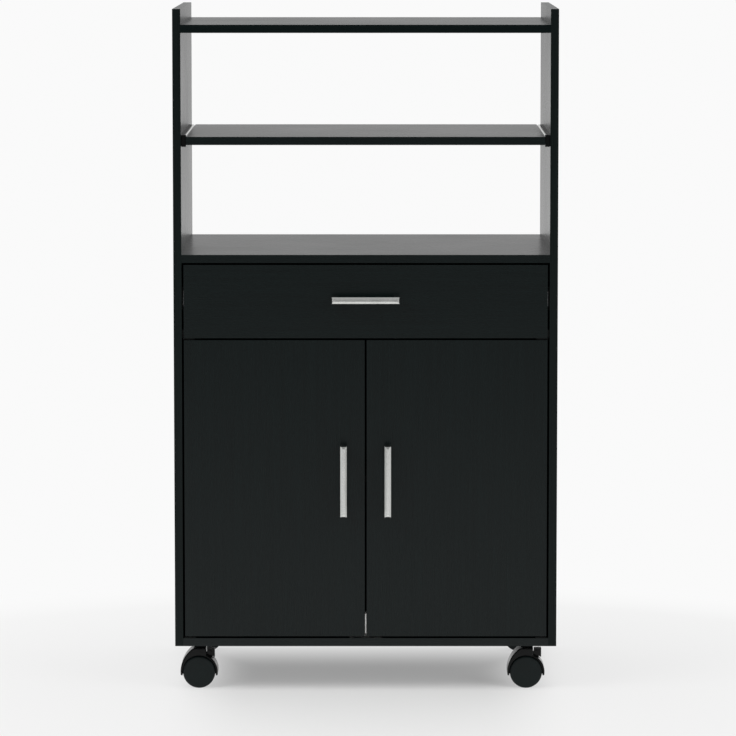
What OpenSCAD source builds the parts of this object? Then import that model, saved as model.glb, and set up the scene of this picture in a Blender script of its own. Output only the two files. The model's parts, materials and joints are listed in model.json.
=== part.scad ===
// Kitchen cart on casters: two open bays over a drawer and a two-door cupboard.
// +X is the cart's right seen from its front, +Y its back, +Z up.
// The origin is on the floor under the middle of the outline, handles included.

/* [Cabinet] */
// Width over the two side panels
cabinet_w = 590; // [480:5:750]
// Depth of the side panels
cabinet_d = 390; // [385:5:480]
// Thickness of the boards
board_t = 12.5; // [12:0.5:16]
// Thickness of the hardboard back and drawer bottom
hardboard_t = 3; // [2.5:0.5:4]
// Setback of the hardboard back from the side panels' rear edges
back_recess = 2; // [1.6:0.1:4]
// Height of the bay between the counter and the pull-out shelf
lower_bay_h = 168.5; // [120:0.5:400]
// Height of the bay between the pull-out shelf and the top shelf
upper_bay_h = 158.5; // [120:0.5:400]
// Height of the side panels above the top shelf
rim_h = 24; // [10:1:60]
// Depth of the rail between the drawer and the cupboard
rail_d = 120; // [110:5:200]

/* [Doors and drawer front] */
// Height of the doors
door_h = 461; // [380:1:560]
// Height of the drawer front
drawer_front_h = 113; // [108:0.5:160]
// Gap around the doors and around the drawer front
front_gap = 3; // [2.8:0.1:3.6]

/* [Drawer box] */
// Length of the drawer box behind its front
drawer_l = 350; // [300:5:360]
// Height of the drawer box
drawer_box_h = 80; // [70:1:84]
// Height of the box's lower edge above the lower edge of the drawer front
drawer_box_lift = 20; // [16:0.5:22]
// Height of the drawer bottom above the box's lower edge
drawer_bottom_lift = 8; // [6:0.5:10]
// Depth of the grooves that hold the drawer bottom
groove_d = 5; // [4:0.5:7]

/* [Shelves] */
// Depth of the pull-out shelf
slide_shelf_d = 350; // [310:5:370]
// Depth of the shelf in the cupboard
inner_shelf_d = 290; // [200:5:300]
// Height of the cupboard shelf above the bottom panel
inner_shelf_lift = 230; // [180:1:270]
// Sideways play of the cupboard shelf at each end
inner_shelf_play = 0.5; // [0.3:0.1:1]
// Diameter of the shelf pins
pin_d = 5; // [4:0.5:6]
// Depth of the holes for the shelf pins
pin_hole_d = 8; // [6:0.5:9]
// Length of the shelf pins inside the cupboard
pin_reach = 9; // [7:0.5:12]
// Distance between the holes in a row
pin_pitch = 32; // [25:1:40]
// Distance of the rows of holes from the shelf's front and back edges
pin_inset = 40; // [25:1:60]

/* [Runners] */
// Height of the drawer runners
drawer_runner_h = 35; // [30:1:42]
// Width of the drawer runners, from side panel to drawer
drawer_runner_w = 12.5; // [11:0.5:14]
// Travel of the drawer
drawer_travel = 260; // [150:5:270]
// Ball diameter in the drawer runners
drawer_ball_d = 4.6; // [3.5:0.1:5.2]
// Height of the shelf runners
shelf_runner_h = 17; // [16:0.5:20]
// Width of the shelf runners, from side panel to shelf
shelf_runner_w = 8; // [7:0.5:10]
// Length of the shelf runners
shelf_runner_l = 300; // [250:5:305]
// Travel of the pull-out shelf
shelf_travel = 220; // [120:5:225]
// Ball diameter in the shelf runners
shelf_ball_d = 2.6; // [2.2:0.1:2.8]
// Sheet thickness of the runners
steel_t = 1.2; // [0.9:0.1:1.4]
// Width of the folded lips along the moving members
runner_lip = 3; // [2:0.5:3.5]
// Play between the fixed and the moving members
runner_slip = 0.6; // [0.4:0.1:1]
// Play of each ball against its track
ball_play = 0.05; // [0.03:0.01:0.1]
// Distance between the balls of a cage
ball_pitch = 12; // [8:1:16]
// Setback of the shelf runners behind the front edges
runner_setback = 6; // [5:0.5:10]
// Length of the end caps on the shelf runners
cap_l = 4; // [2:0.5:4.5]
// How far the end caps stand out above and below the runners
cap_lip = 0.6; // [0.3:0.1:1]

/* [Door pivots and catch] */
// Distance of the pivot from the door's outer edge
pivot_inset = 8; // [7:0.5:10]
// Diameter of the pivot pins
pivot_d = 5; // [4:0.5:6]
// Length of the pivot pins inside the door
pivot_l = 9; // [6:0.5:12]
// Running clearance around each turning pin
running_gap = 0.05; // [0.03:0.01:0.08]
// Thickness of the pivot plates
pivot_plate_t = 1.5; // [1.2:0.1:1.8]
// Width of the pivot plates
pivot_plate_w = 18; // [14:1:24]
// Length of the pivot plates behind the doors
pivot_plate_l = 30; // [28:1:34]
// Gap above the upper pivot plates, below the drawer front
pivot_drop = 0.5; // [0.3:0.1:0.8]
// Thickness of the strike plates on the doors
strike_t = 1.2; // [0.8:0.1:1.5]
// Width of the strike plates
strike_w = 13; // [10:0.5:16]
// Height of the strike plates
strike_h = 24; // [18:1:28]
// Width of the magnetic catch
catch_w = 30; // [26:1:36]
// Depth of the magnetic catch
catch_d = 14; // [12:0.5:20]
// Height of the magnetic catch, foot included
catch_h = 38; // [32:1:45]
// Thickness of the catch's foot
catch_foot_t = 5; // [3:0.5:6]
// How far the catch's foot sticks out on each side
catch_ear = 10; // [9:0.5:14]
// Width of the catch's rib between the doors
rib_w = 2; // [1.5:0.1:2]
// Setback of the rib behind the doors' front faces
rib_setback = 1.5; // [1:0.5:6]
// Height of the rib's lower end above the catch's foot
rib_lift = 2.5; // [0.5:0.5:8]

/* [Handles] */
// Length of the door handles
door_handle_l = 110; // [90:1:140]
// Length of the drawer handle
drawer_handle_l = 104; // [90:1:140]
// Height of the bar, seen from the front
handle_bar_w = 10; // [8:0.5:14]
// Thickness of the bar, front to back
handle_bar_t = 7; // [5:0.5:9]
// Width of the two legs along the handle
handle_leg_w = 9; // [8:0.5:12]
// How far the handles stand out
handle_reach = 28; // [22:1:36]
// Radius of the handle's outer corners
handle_corner_r = 4; // [2:0.5:5]
// Distance of the door handles from the doors' free edges
handle_inset = 32.5; // [20:0.5:60]
// Height of the door handles' middle above the doors' lower edges
door_handle_z = 244.5; // [180:0.5:300]
// Height of the drawer handle's middle above the front's lower edge
drawer_handle_z = 60.5; // [45:0.5:65]

/* [Casters] */
// Height from the floor to the underside of the bottom panel
caster_h = 69.5; // [66:0.5:80]
// Radius of the wheels
wheel_r = 25; // [23:0.5:26]
// Width of one wheel
wheel_w = 15; // [12:0.5:18]
// Rounding of the wheels' edges
wheel_edge_r = 3; // [1:0.5:4]
// Depth of the recess in the wheels' inner faces
wheel_recess = 7; // [4:0.5:8]
// Distance between the swivel axis and the axle
caster_trail = 5; // [3:0.5:8]
// Distance of the swivel axes from the cabinet's sides
caster_inset_x = 41; // [40:1:80]
// Distance of the swivel axes from the cabinet's front and back
caster_inset_y = 37.5; // [34:0.5:60]
// Radial gap between the wheels and the hood
hood_gap = 1.3; // [0.8:0.1:2]
// Wall of the hood
hood_t = 2.7; // [2:0.1:3.5]
// Extra radius of the hood's shoulders above the axle
shoulder_extra = 16; // [10:1:24]
// Height of the neck above the hood's shoulder
shoulder_drop = 4; // [4:0.5:8]
// How far the hood reaches below the axle
hood_drop = 5; // [1:0.1:6]
// Thickness of the web between the two wheels
web_t = 6; // [4:0.5:8]
// Gap between the web and each wheel
web_gap = 1; // [0.5:0.1:1.5]
// Diameter of the axles
axle_d = 6; // [5:0.5:8]
// Depth of the axle's seat in each wheel
axle_seat = 11; // [8:0.5:11.5]
// Diameter of the swivel pins
swivel_d = 8; // [6:0.5:8]
// Length of the swivel pins below their plates
swivel_l = 12; // [10:0.5:12]
// Diameter of the hood's neck
neck_d = 12; // [11:0.5:14]
// Gap between the neck and the plate above it
neck_gap = 0.8; // [0.5:0.1:1]
// Thickness of the mounting plates
plate_t = 2; // [1.5:0.1:3]
// Distance between the holes in a mounting plate
plate_hole_pitch = 28; // [26:1:30]
// Distance of those holes from the plate's edges
plate_edge = 5; // [4:0.5:7]
// Width of the brake levers along the axle
lever_w = 12; // [8:0.5:14]
// Length of the brake levers beyond their pins
lever_reach = 8; // [6:0.5:9]
// Height of the levers' pins above the hood
lever_stand = 4.5; // [4:0.1:5]
// Angle of the levers' pins around the axle, above the horizontal
lever_angle = 61.5; // [58:0.5:64]
// Angle that a brake lever tilts through
lever_swing = 15; // [8:1:18]
// Diameter of the brake levers' pins
lever_pin_d = 3; // [2:0.5:4]
// Thickness of the ears that carry a brake lever
lever_ear_t = 2; // [1.5:0.1:3]

/* [Screws] */
// Shank diameter of the screws that join the panels
joint_screw_d = 5; // [4:0.5:6]
// Head diameter of the screws that join the panels
joint_head_d = 9; // [8:0.5:11]
// Head height of the screws that join the panels
joint_head_h = 2.5; // [2:0.5:3.5]
// Length of the screws that join the panels
joint_screw_l = 45; // [35:1:50]
// Distance of those screws from the front and back edges of the deep boards
joint_screw_inset = 75; // [68:1:90]
// Distance of those screws from the front and back edges of the rail
rail_screw_inset = 40; // [32:1:50]
// Shank diameter of the small screws
small_screw_d = 3.5; // [3:0.1:4]
// Head diameter of the small screws
small_head_d = 6; // [5:0.1:6.4]
// Head height of the small screws
small_head_h = 2; // [1.5:0.1:2.5]
// Length of the small screws in the wood
small_screw_l = 9; // [7:0.5:10]
// Distance of the runners' screws from the runners' ends
runner_screw_inset = 30; // [20:1:40]
// Shank diameter of the handles' machine screws
machine_screw_d = 4; // [3:0.5:5]
// Head diameter of the handles' machine screws
machine_head_d = 8; // [7:0.5:9]
// Head height of the handles' machine screws
machine_head_h = 2.5; // [2:0.1:3]
// Length of the machine screws inside the handle
machine_screw_grip = 8; // [6:0.5:12]

/* [Hidden] */
$fn = 64;

// Overshoot of every cut past the surface it opens
cut = 1;

BLACK_FOIL = [0.14, 0.15, 0.15];
HARDBOARD = [0.42, 0.31, 0.22];
ZINC = [0.75, 0.76, 0.77];
SATIN_NICKEL = [0.7, 0.7, 0.69];
BLACK_STEEL = [0.1, 0.1, 0.11];
BLACK_PLASTIC = [0.08, 0.08, 0.09];
GREY_PLASTIC = [0.62, 0.62, 0.61];
MAGNET = [0.3, 0.3, 0.32];

// The cabinet's planes
inner_x = cabinet_w / 2 - board_t;
inner_w = 2 * inner_x;
front_y = (handle_reach - cabinet_d) / 2;
back_y = front_y + cabinet_d;
behind_fronts_y = front_y + board_t;

// Heights from the floor up
floor_z = caster_h + board_t;
door_z = floor_z + front_gap;
door_top_z = door_z + door_h;
drawer_z = door_top_z + front_gap;
counter_z = drawer_z + drawer_front_h + front_gap;
slide_shelf_z = counter_z + board_t + lower_bay_h;
top_shelf_z = slide_shelf_z + board_t + upper_bay_h;
panel_top_z = top_shelf_z + board_t + rim_h;
rail_z = drawer_z - pivot_drop;

// The counter and the bottom panel end where the hardboard back begins
board_back_y = back_y - back_recess - hardboard_t;
closed_d = board_back_y - front_y;
rail_gap = 1;
rail_y = behind_fronts_y + rail_gap;

// Fixed boards as [underside, front, depth, distance of the screws from the edges]
FIXED_BOARDS = [
    [caster_h, front_y, closed_d, joint_screw_inset],
    [rail_z, rail_y, rail_d, rail_screw_inset],
    [counter_z, front_y, closed_d, joint_screw_inset],
    [top_shelf_z, front_y, cabinet_d, joint_screw_inset]
];

// Doors and pivots
door_w = (inner_w - 3 * front_gap) / 2;
door_outer_x = inner_x - front_gap;
pivot_x = door_outer_x - pivot_inset;
pivot_y = front_y + board_t / 2;
pivot_top_gap = front_gap - pivot_drop - pivot_plate_t;
pivot_plate_margin = 4;
pivot_plate_x = inner_x - front_gap / 2 - pivot_plate_w;
pivot_screw_x = pivot_plate_x + pivot_plate_w / 2;
pivot_screw_steps = [12, 22];
handle_x = front_gap / 2 + handle_inset;

// Magnetic catch
catch_y = behind_fronts_y + strike_t;
catch_foot_setback = 4;
catch_mid_z = floor_z + (catch_h + catch_foot_t) / 2;
magnet_w = 9;
magnet_h = 16;
magnet_d = 6;
strike_x = front_gap / 2 + 0.5;
strike_mid_x = strike_x + strike_w / 2;
catch_screw_x = (catch_w + catch_ear) / 2;
catch_screw_y = catch_y + (catch_d + catch_foot_setback) / 2;

// Drawer
drawer_box_z = drawer_z + drawer_box_lift;
drawer_outer_x = inner_x - drawer_runner_w;
drawer_inner_x = drawer_outer_x - board_t;
drawer_back_y = behind_fronts_y + drawer_l - board_t;
drawer_bottom_z = drawer_box_z + drawer_bottom_lift;
drawer_runner_y = behind_fronts_y + rail_gap;
drawer_runner_l = drawer_l - rail_gap;
drawer_runner_z = drawer_box_z + drawer_box_h / 2;
box_screw_inset = drawer_bottom_lift + hardboard_t + joint_screw_d + 2;
box_screw_zs = [drawer_box_z + box_screw_inset, drawer_box_z + drawer_box_h - box_screw_inset];
box_screw_y = drawer_back_y + board_t / 2;
drawer_handle_mid_z = drawer_z + drawer_handle_z;

// Pull-out shelf
slide_shelf_x = inner_x - shelf_runner_w;
shelf_runner_y = front_y + runner_setback;
shelf_runner_z = slide_shelf_z + board_t / 2;

// Runners as [height, width, length, start, middle height, ball diameter, travel]
DRAWER_RUNNER = [drawer_runner_h, drawer_runner_w, drawer_runner_l,
                 drawer_runner_y, drawer_runner_z, drawer_ball_d, drawer_travel];
SHELF_RUNNER = [shelf_runner_h, shelf_runner_w, shelf_runner_l,
                shelf_runner_y, shelf_runner_z, shelf_ball_d, shelf_travel];
cage_space = 1;
cage_t = 0.5;
cage_arm_t = 0.8;
cage_margin = 2;

// Cupboard shelf and its pins
inner_shelf_z = floor_z + inner_shelf_lift;
inner_shelf_y = board_back_y - inner_shelf_play - inner_shelf_d;
pin_rows = [inner_shelf_y + pin_inset, inner_shelf_y + inner_shelf_d - pin_inset];
pin_z = inner_shelf_z - pin_d / 2;
pin_steps = [-2, -1, 0, 1, 2];
pin_collar_d = pin_d + 2;
pin_collar_t = 1;

// Screws in the back panel
back_screw_inset = 40;
back_screw_count = 5;
back_screw_l = 12;
back_head_d = 7;
back_head_h = 1.5;

// Casters
axle_z = wheel_r;
hood_r = wheel_r + hood_gap + hood_t;
hood_inner_r = wheel_r + hood_gap;
wheel_y = web_t / 2 + web_gap;
hood_w = 2 * (wheel_y + wheel_w - 1);
hub_r = axle_d / 2 + 5;
wheel_hub_r = axle_d / 2 + 3;
wheel_rim_t = 4;
plate_side = plate_hole_pitch + 2 * plate_edge;
pin_low_z = caster_h - plate_t - swivel_l;
neck_top_z = caster_h - plate_t - neck_gap;
neck_x = [caster_trail - neck_d / 2, caster_trail + neck_d / 2];
swivel_x = cabinet_w / 2 - caster_inset_x;
swivel_front_y = front_y + caster_inset_y;
swivel_back_y = back_y - caster_inset_y;

// Brake lever: places in X and Z are measured from the axle
lever_pivot = (hood_r + lever_stand) * [cos(lever_angle), sin(lever_angle)];
lever_u = [lever_pivot[0] - lever_pin_d / 2 - 1.8, lever_pivot[0] + lever_reach];
lever_top = lever_pivot[1] + 6.3;
lever_gap = 0.35;
lever_nose_u = [lever_pivot[0] + 1.5, lever_pivot[0] + 4.5];
lever_nose_r = hood_r - 0.9;
lever_nose_w = 8;
lever_slot_u = [lever_pivot[0] - 1.5, lever_pivot[0] + 6];
lever_slot_gap = 0.6;
lever_slot_r = wheel_r + hood_gap / 2;
lever_ear_r = lever_pin_d / 2 + 1.7;
lever_ear_y = lever_w / 2 + lever_gap;

// ---------- shared shapes ----------

// Extrudes an outline drawn in X and Z along Y
module along_y(start, length) {
    translate([0, start + length, 0]) rotate([90, 0, 0]) linear_extrude(length) children();
}

// Puts a right-hand shape on the right (side = 1) or mirrors it to the left (side = -1)
module on_side(side) {
    if (side > 0) children();
    else mirror([1, 0, 0]) children();
}

// A screw along +X: its head's top at x = 0, its tip at the far end
module screw_x(shank_d, head_d, head_h, length) {
    rotate([0, 90, 0]) {
        cylinder(d = head_d, h = head_h);
        cylinder(d = shank_d, h = head_h + length);
    }
}

// A screw along +Z: its head's lowest face at z = 0
module screw_z(shank_d, head_d, head_h, length) {
    cylinder(d = head_d, h = head_h);
    cylinder(d = shank_d, h = head_h + length);
}

module board(x0, y0, z0, w, d, h) translate([x0, y0, z0]) cube([w, d, h]);

// ---------- panel screws ----------

// The joint screws of one side, driven inwards through the side panel
module joint_screws_right() {
    for (b = FIXED_BOARDS, y = [b[1] + b[3], b[1] + b[2] - b[3]])
        translate([cabinet_w / 2, y, b[0] + board_t / 2]) mirror([1, 0, 0])
            screw_x(joint_screw_d, joint_head_d, joint_head_h, joint_screw_l - joint_head_h);
}

module all_joint_screws() for (side = [-1, 1]) on_side(side) joint_screws_right();

module panel_screws() color(ZINC) all_joint_screws();

// ---------- runners ----------

function runner_half(r) = r[0] / 2;
function hat_half(r) = r[0] / 2 - steel_t - r[5] - 2 * ball_play;
function hat_x() = steel_t + cage_space;
function flange_reach(r) = r[1] - runner_lip - runner_slip;
function ball_x(r) = (hat_x() + flange_reach(r)) / 2;
function ball_z(r) = (r[0] / 2 - steel_t + hat_half(r)) / 2;
function runner_screw_ys(r) = [r[3] + runner_screw_inset, r[3] + r[2] - runner_screw_inset];

// The two mirrored strips at the top and bottom of a runner's outline
module strip_pair(x0, width, outer_z) {
    for (s = [-1, 1])
        translate([x0, s > 0 ? outer_z - steel_t : -outer_z]) square([width, steel_t]);
}

// Outline of the member on the cabinet: x runs from the side panel inwards
module fixed_member_outline(r) {
    translate([0, -runner_half(r)]) square([steel_t, r[0]]);
    strip_pair(0, flange_reach(r), runner_half(r));
}

// Outline of the member on the drawer or shelf
module moving_member_outline(r) {
    translate([r[1] - steel_t, -runner_half(r)]) square([steel_t, r[0]]);
    strip_pair(r[1] - runner_lip, runner_lip, runner_half(r));
    strip_pair(hat_x(), r[1] - hat_x(), hat_half(r));
    translate([hat_x(), -hat_half(r)]) square([steel_t, 2 * hat_half(r)]);
}

// Puts a runner's outline on the right-hand side panel
module at_runner(r) translate([inner_x, 0, r[4]]) mirror([1, 0, 0]) children();

// Flush screws from a fixed member into the side panel
module fixed_member_screws(r) {
    at_runner(r) for (y = runner_screw_ys(r))
        translate([steel_t, y, 0]) mirror([1, 0, 0])
            screw_x(small_screw_d, small_head_d, steel_t, small_screw_l);
}

// Flush screws from a moving member into the drawer or shelf
module moving_member_screws(r) {
    at_runner(r) for (y = runner_screw_ys(r))
        translate([r[1] - steel_t, y, 0])
            screw_x(small_screw_d, small_head_d, steel_t, small_screw_l);
}

module fixed_member(side, r) {
    color(BLACK_STEEL) on_side(side) difference() {
        at_runner(r) along_y(r[3], r[2]) fixed_member_outline(r);
        fixed_member_screws(r);
    }
}

module moving_member(side, r) {
    color(ZINC) on_side(side) difference() {
        at_runner(r) along_y(r[3], r[2]) moving_member_outline(r);
        moving_member_screws(r);
    }
}

// A cage as long as what overlaps when the runner is fully out, and its two rows of balls
module ball_cage(r) {
    length = r[2] - r[6] - 2 * cage_margin;
    start = r[3] + (r[2] - length) / 2;
    count = floor((length - r[5]) / ball_pitch) + 1;
    first = start + (length - (count - 1) * ball_pitch) / 2;
    strip_x = steel_t + (cage_space - cage_t) / 2;
    at_runner(r) {
        along_y(start, length) {
            translate([strip_x, -ball_z(r)]) square([cage_t, 2 * ball_z(r)]);
            for (s = [-1, 1]) translate([strip_x, s * ball_z(r) - cage_arm_t / 2])
                square([ball_x(r) - strip_x, cage_arm_t]);
        }
        for (i = [0 : count - 1], s = [-1, 1])
            translate([ball_x(r), first + i * ball_pitch, s * ball_z(r)]) sphere(d = r[5]);
    }
}

module drawer_runner_left() fixed_member(-1, DRAWER_RUNNER);
module drawer_runner_right() fixed_member(1, DRAWER_RUNNER);
module shelf_runner_left() fixed_member(-1, SHELF_RUNNER);
module shelf_runner_right() fixed_member(1, SHELF_RUNNER);
module drawer_slide_left() moving_member(-1, DRAWER_RUNNER);
module drawer_slide_right() moving_member(1, DRAWER_RUNNER);
module shelf_slide_left() moving_member(-1, SHELF_RUNNER);
module shelf_slide_right() moving_member(1, SHELF_RUNNER);

module drawer_ball_cages() {
    color(ZINC) for (side = [-1, 1]) on_side(side) ball_cage(DRAWER_RUNNER);
}

module shelf_ball_cages() {
    color(ZINC) for (side = [-1, 1]) on_side(side) ball_cage(SHELF_RUNNER);
}

module shelf_slide_caps() {
    half = shelf_runner_h / 2 + cap_lip;
    color(BLACK_PLASTIC) for (side = [-1, 1]) on_side(side)
        at_runner(SHELF_RUNNER) along_y(shelf_runner_y - cap_l, cap_l)
            translate([runner_slip, -half]) square([shelf_runner_w - runner_slip, 2 * half]);
}

// ---------- cabinet ----------

module side_panel(side) {
    color(BLACK_FOIL) on_side(side) difference() {
        board(inner_x, front_y, caster_h, board_t, cabinet_d, panel_top_z - caster_h);
        joint_screws_right();
        fixed_member_screws(DRAWER_RUNNER);
        fixed_member_screws(SHELF_RUNNER);
        for (y = pin_rows, step = pin_steps)
            translate([inner_x - cut, y, pin_z + step * pin_pitch]) rotate([0, 90, 0])
                cylinder(d = pin_d, h = pin_hole_d + cut);
    }
}

module side_panel_left() side_panel(-1);
module side_panel_right() side_panel(1);

module top_shelf() {
    color(BLACK_FOIL) difference() {
        board(-inner_x, front_y, top_shelf_z, inner_w, cabinet_d, board_t);
        all_joint_screws();
    }
}

module counter() {
    color(BLACK_FOIL) difference() {
        board(-inner_x, front_y, counter_z, inner_w, closed_d, board_t);
        all_joint_screws();
        back_screws();
    }
}

module bottom_panel() {
    color(BLACK_FOIL) difference() {
        board(-inner_x, front_y, caster_h, inner_w, closed_d, board_t);
        all_joint_screws();
        back_screws();
        caster_plate_screws();
        lower_pivot_screws();
        catch_screws();
    }
}

module divider_rail() {
    color(BLACK_FOIL) difference() {
        board(-inner_x, rail_y, rail_z, inner_w, rail_d, board_t);
        all_joint_screws();
        upper_pivot_screws();
    }
}

// Screws through the back panel into the rear edges of the counter and the bottom panel
module back_screws() {
    span = inner_w - 2 * back_screw_inset;
    for (i = [0 : back_screw_count - 1], z = [caster_h, counter_z])
        translate([-span / 2 + i * span / (back_screw_count - 1), back_y - back_recess,
                   z + board_t / 2])
            rotate([90, 0, 0]) {
                translate([0, 0, -back_head_h]) cylinder(d = back_head_d, h = back_head_h);
                cylinder(d = small_screw_d, h = hardboard_t + back_screw_l);
            }
}

module back_panel() {
    color(HARDBOARD) difference() {
        board(-inner_x, board_back_y, caster_h,
              inner_w, hardboard_t, counter_z + board_t - caster_h);
        back_screws();
    }
}

module back_panel_screws() color(ZINC) back_screws();

module inner_shelf() {
    color(BLACK_FOIL) board(-inner_x + inner_shelf_play, inner_shelf_y, inner_shelf_z,
                            inner_w - 2 * inner_shelf_play, inner_shelf_d, board_t);
}

module shelf_pins() {
    color(ZINC) for (side = [-1, 1], y = pin_rows) on_side(side)
        translate([inner_x, y, pin_z]) rotate([0, -90, 0]) {
            translate([0, 0, -pin_hole_d]) cylinder(d = pin_d, h = pin_hole_d + pin_reach);
            intersection() {
                cylinder(d = pin_collar_d, h = pin_collar_t);
                translate([-pin_collar_d, -pin_collar_d, 0])
                    cube([pin_collar_d + pin_d / 2, 2 * pin_collar_d, pin_collar_t]);
            }
        }
}

// ---------- door pivots and catch ----------

// Plate of one pivot, its mounting face at z = 0 and its pin towards +Z
module pivot_plate(pin_h) {
    difference() {
        union() {
            board(pivot_plate_x, pivot_y - pivot_plate_margin, 0,
                  pivot_plate_w, board_t / 2 + pivot_plate_l + pivot_plate_margin, pivot_plate_t);
            translate([pivot_x, pivot_y, 0]) cylinder(d = pivot_d, h = pivot_plate_t + pin_h);
        }
        pivot_screws_up();
    }
}

// The two screws of a pivot plate, heads on its free face, driven towards -Z
module pivot_screws_up() {
    for (step = pivot_screw_steps)
        translate([pivot_screw_x, behind_fronts_y + step, pivot_plate_t + small_head_h])
            mirror([0, 0, 1])
                screw_z(small_screw_d, small_head_d, small_head_h, small_screw_l);
}

module at_lower_pivot() translate([0, 0, floor_z]) children();
module at_upper_pivot() translate([0, 0, rail_z]) mirror([0, 0, 1]) children();
module lower_pivot_screws() for (s = [-1, 1]) on_side(s) at_lower_pivot() pivot_screws_up();
module upper_pivot_screws() for (s = [-1, 1]) on_side(s) at_upper_pivot() pivot_screws_up();

module door_pivots(side) {
    color(BLACK_STEEL) on_side(side) {
        at_lower_pivot() pivot_plate(front_gap - pivot_plate_t + pivot_l);
        at_upper_pivot() pivot_plate(pivot_top_gap + pivot_l);
    }
}

module door_pivots_left() door_pivots(-1);
module door_pivots_right() door_pivots(1);

module catch_screws() {
    for (side = [-1, 1])
        translate([side * catch_screw_x, catch_screw_y, floor_z + catch_foot_t + small_head_h])
            mirror([0, 0, 1])
                screw_z(small_screw_d, small_head_d, small_head_h, catch_foot_t + small_screw_l);
}

module magnets() {
    for (side = [-1, 1])
        board(side * strike_mid_x - magnet_w / 2, catch_y, catch_mid_z - magnet_h / 2,
              magnet_w, magnet_d, magnet_h);
}

module magnetic_catch() {
    foot_w = catch_w + 2 * catch_ear;
    color(GREY_PLASTIC) difference() {
        union() {
            board(-catch_w / 2, catch_y, floor_z + catch_foot_t,
                  catch_w, catch_d, catch_h - catch_foot_t);
            board(-foot_w / 2, catch_y + catch_foot_setback, floor_z,
                  foot_w, catch_d - catch_foot_setback, catch_foot_t);
            board(-rib_w / 2, front_y + rib_setback, floor_z + catch_foot_t + rib_lift,
                  rib_w, catch_y - front_y, catch_h - catch_foot_t - rib_lift);
        }
        catch_screws();
        magnets();
    }
}

module catch_magnets() color(MAGNET) magnets();

// ---------- doors ----------

// Distance between the two screws of a handle
function handle_pitch(length) = length - handle_leg_w;

// Handle across the Y direction: its back face at y = 0, its length along Z
module handle(length) {
    rotate([0, 90, 0]) translate([0, 0, -handle_bar_w / 2]) difference() {
        linear_extrude(handle_bar_w) difference() {
            union() {
                translate([-length / 2, -handle_reach + handle_corner_r])
                    square([length, handle_reach - handle_corner_r]);
                translate([-length / 2 + handle_corner_r, -handle_reach])
                    square([length - 2 * handle_corner_r, handle_corner_r]);
                for (s = [-1, 1])
                    translate([s * (length / 2 - handle_corner_r), -handle_reach + handle_corner_r])
                        circle(r = handle_corner_r);
            }
            translate([-length / 2 + handle_leg_w, -handle_reach + handle_bar_t])
                square([length - 2 * handle_leg_w, handle_reach]);
        }
        for (s = [-1, 1])
            translate([s * handle_pitch(length) / 2, cut, handle_bar_w / 2]) rotate([90, 0, 0])
                cylinder(d = machine_screw_d, h = machine_screw_grip + cut);
    }
}

// The two machine screws of a handle, heads behind the board it is on
module handle_screws(length) {
    for (s = [-1, 1])
        translate([0, board_t + machine_head_h, s * handle_pitch(length) / 2]) rotate([90, 0, 0])
            screw_z(machine_screw_d, machine_head_d, machine_head_h,
                    board_t + machine_screw_grip);
}

module at_door_handle() {
    translate([handle_x, front_y, door_z + door_handle_z]) children();
}

// Flush screw from the strike plate into the door
module strike_screw() {
    translate([strike_mid_x, behind_fronts_y + strike_t, catch_mid_z]) rotate([90, 0, 0])
        screw_z(small_screw_d, small_head_d, strike_t, small_screw_l);
}

module door(side) {
    bore_d = pivot_d + 2 * running_gap;
    bore_l = pivot_l + 1;
    color(BLACK_FOIL) on_side(side) difference() {
        board(front_gap / 2, front_y, door_z, door_w, board_t, door_h);
        for (z = [door_z - cut, door_top_z - bore_l])
            translate([pivot_x, pivot_y, z]) cylinder(d = bore_d, h = bore_l + cut);
        at_door_handle() handle_screws(door_handle_l);
        strike_screw();
    }
}

module door_left() door(-1);
module door_right() door(1);

module door_handle(side) color(SATIN_NICKEL) on_side(side) at_door_handle() handle(door_handle_l);
module door_handle_left() door_handle(-1);
module door_handle_right() door_handle(1);

module door_screws(side) {
    color(ZINC) on_side(side) {
        at_door_handle() handle_screws(door_handle_l);
        strike_screw();
    }
}

module door_screws_left() door_screws(-1);
module door_screws_right() door_screws(1);

module strike_plate(side) {
    color(ZINC) on_side(side) difference() {
        board(strike_x, behind_fronts_y, catch_mid_z - strike_h / 2, strike_w, strike_t, strike_h);
        strike_screw();
    }
}

module strike_plate_left() strike_plate(-1);
module strike_plate_right() strike_plate(1);

// ---------- drawer ----------

module drawer_bottom_shape() {
    board(-drawer_inner_x - groove_d, behind_fronts_y - groove_d, drawer_bottom_z,
          2 * (drawer_inner_x + groove_d), drawer_back_y - behind_fronts_y + 2 * groove_d,
          hardboard_t);
}

module at_drawer_handle() {
    translate([0, front_y, drawer_handle_mid_z]) rotate([0, 90, 0]) children();
}

// Flush screws through the drawer's sides into the ends of its back
module box_screws() {
    for (side = [-1, 1], z = box_screw_zs) on_side(side)
        translate([drawer_outer_x, box_screw_y, z]) mirror([1, 0, 0])
            screw_x(joint_screw_d, joint_head_d, joint_head_h, joint_screw_l - joint_head_h);
}

module drawer_front() {
    color(BLACK_FOIL) difference() {
        board(-door_outer_x, front_y, drawer_z, 2 * door_outer_x, board_t, drawer_front_h);
        drawer_bottom_shape();
        at_drawer_handle() handle_screws(drawer_handle_l);
    }
}

module drawer_side(side) {
    color(BLACK_FOIL) difference() {
        on_side(side) board(drawer_inner_x, behind_fronts_y, drawer_box_z,
                            board_t, drawer_l, drawer_box_h);
        drawer_bottom_shape();
        box_screws();
        on_side(side) moving_member_screws(DRAWER_RUNNER);
    }
}

module drawer_side_left() drawer_side(-1);
module drawer_side_right() drawer_side(1);

module drawer_back() {
    color(BLACK_FOIL) difference() {
        board(-drawer_inner_x, drawer_back_y, drawer_box_z,
              2 * drawer_inner_x, board_t, drawer_box_h);
        drawer_bottom_shape();
        box_screws();
    }
}

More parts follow.
